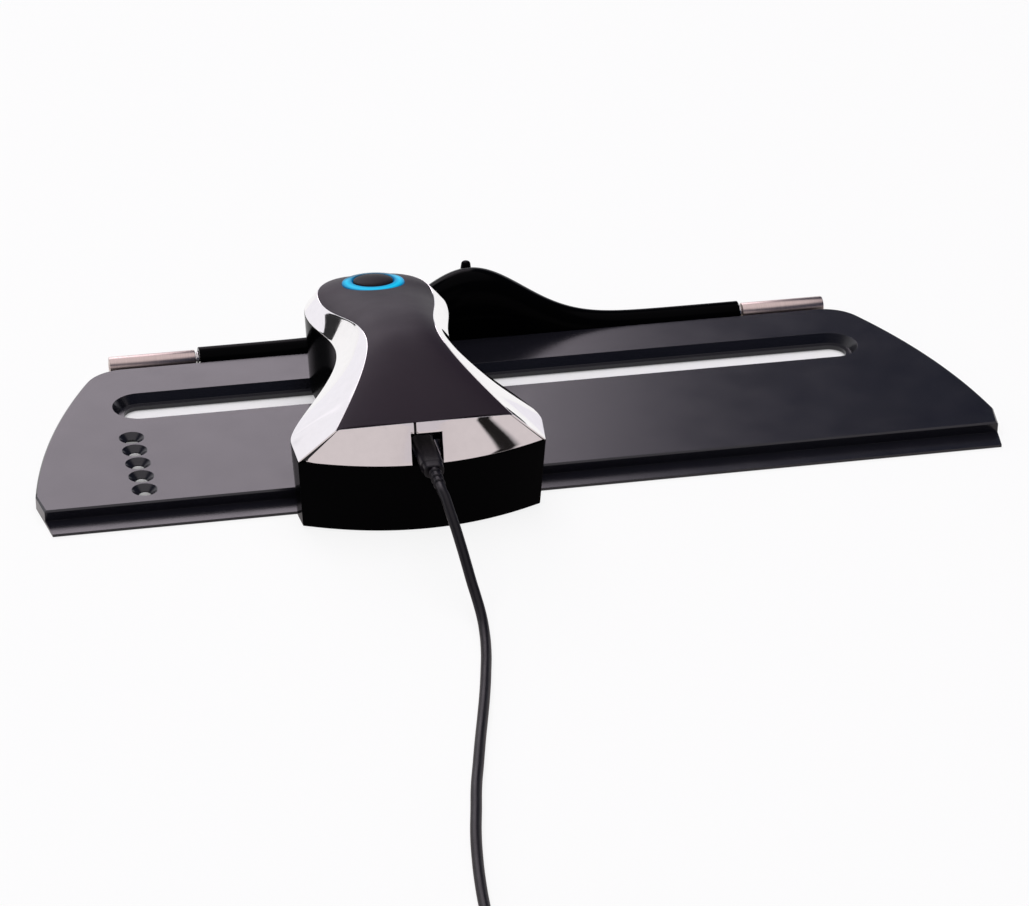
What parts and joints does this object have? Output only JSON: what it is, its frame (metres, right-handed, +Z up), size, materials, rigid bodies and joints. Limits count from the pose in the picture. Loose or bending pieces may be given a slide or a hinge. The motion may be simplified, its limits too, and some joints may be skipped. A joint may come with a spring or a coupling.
{
  "type": "printer calibration device",
  "caption": "Slotted guide plate with a rolling rear bar and bell grip, and a corded measuring head that slides along the slot to read printed colour strips.",
  "frame": {"origin": "middle of the device's base box on the table, without its lead", "axes": "+X along the plate and its slot to the right, +Y from the head's plug end to the rolling bar, +Z up from the table"},
  "size_m": [0.3344, 0.4665, 0.0522],
  "materials": {
    "satin_black_plate": "satin dark grey moulding",
    "gloss_black": "high gloss black moulding",
    "matte_black": "matt black moulding",
    "soft_charcoal": "soft-touch charcoal coating",
    "chrome_trim": "satin chrome plating",
    "blue_light_ring": "lit translucent blue",
    "dark_button": "dark charcoal",
    "warm_satin_metal": "warm satin metal",
    "steel": "bright steel",
    "bush_bronze": "sintered bronze",
    "grip_rubber": "matt rubber",
    "glide_white": "low-friction white plastic",
    "board_green": "coated circuit board",
    "led_white": "clear moulded lamps",
    "lens_glass": "polished glass",
    "cord_black": "semi-gloss black cable jacket",
    "tie_grey": "dark grey hook-and-loop strap"
  },
  "bodies": {
    "guide": {"guide_plate": "satin_black_plate", "grip_strips": "grip_rubber", "axle_carrier": "satin_black_plate", "axle_bushes": "bush_bronze", "carrier_screws": "steel", "axle_cover": "gloss_black", "lock_spring": "steel"},
    "roller_bar": {"axle": "steel", "left_roller": "warm_satin_metal", "right_roller": "warm_satin_metal", "axle_clips": "steel"},
    "roller_lock": {"lock_button": "gloss_black", "brake_arm": "satin_black_plate", "brake_pad": "grip_rubber"},
    "measuring_head": {"head_shell": "gloss_black", "front_skirt": "gloss_black", "base_cover": "satin_black_plate", "base_screws": "steel", "glide_pads": "glide_white", "aperture_nose": "matte_black", "lamp_ring": "board_green", "optics_barrel": "matte_black", "lens": "lens_glass", "main_board": "board_green", "board_screws": "steel", "sensor_chip": "matte_black", "usb_socket": "steel", "port_liner": "chrome_trim", "side_trim": "chrome_trim", "front_trim": "chrome_trim", "top_panel": "soft_charcoal", "light_ring": "blue_light_ring", "ring_board": "board_green", "ring_leds": "led_white", "touch_switch": "matte_black", "plug_tip": "steel", "plug_body": "cord_black", "strain_relief": "cord_black", "cord_lead": "cord_black", "cord_coil": "cord_black", "cord_tail": "cord_black", "cord_tie": "tie_grey", "usb_plug": "cord_black", "usb_shell": "steel"},
    "ring_button": {"button_cap": "dark_button"}
  },
  "joints": [
    {"name": "roller_spin", "type": "hinge", "parent": "guide", "child": "roller_bar", "pos_m": [0, 0.0586, 0.0035], "axis": [1, 0, 0], "continuous": true},
    {"name": "lock_press", "type": "slide", "parent": "guide", "child": "roller_lock", "axis": [0, 0, -1], "range_m": [0, 0.002], "stiffness_N_per_m": 600, "deforming": ["lock_spring"]},
    {"name": "head_slide", "type": "slide", "parent": "guide", "child": "measuring_head", "axis": [1, 0, 0], "range_m": [-0.0834, 0.167]},
    {"name": "button_press", "type": "slide", "parent": "measuring_head", "child": "ring_button", "axis": [0, -0.1392, -0.9903], "range_m": [0, 0.001], "stiffness_N_per_m": 800}
  ]
}
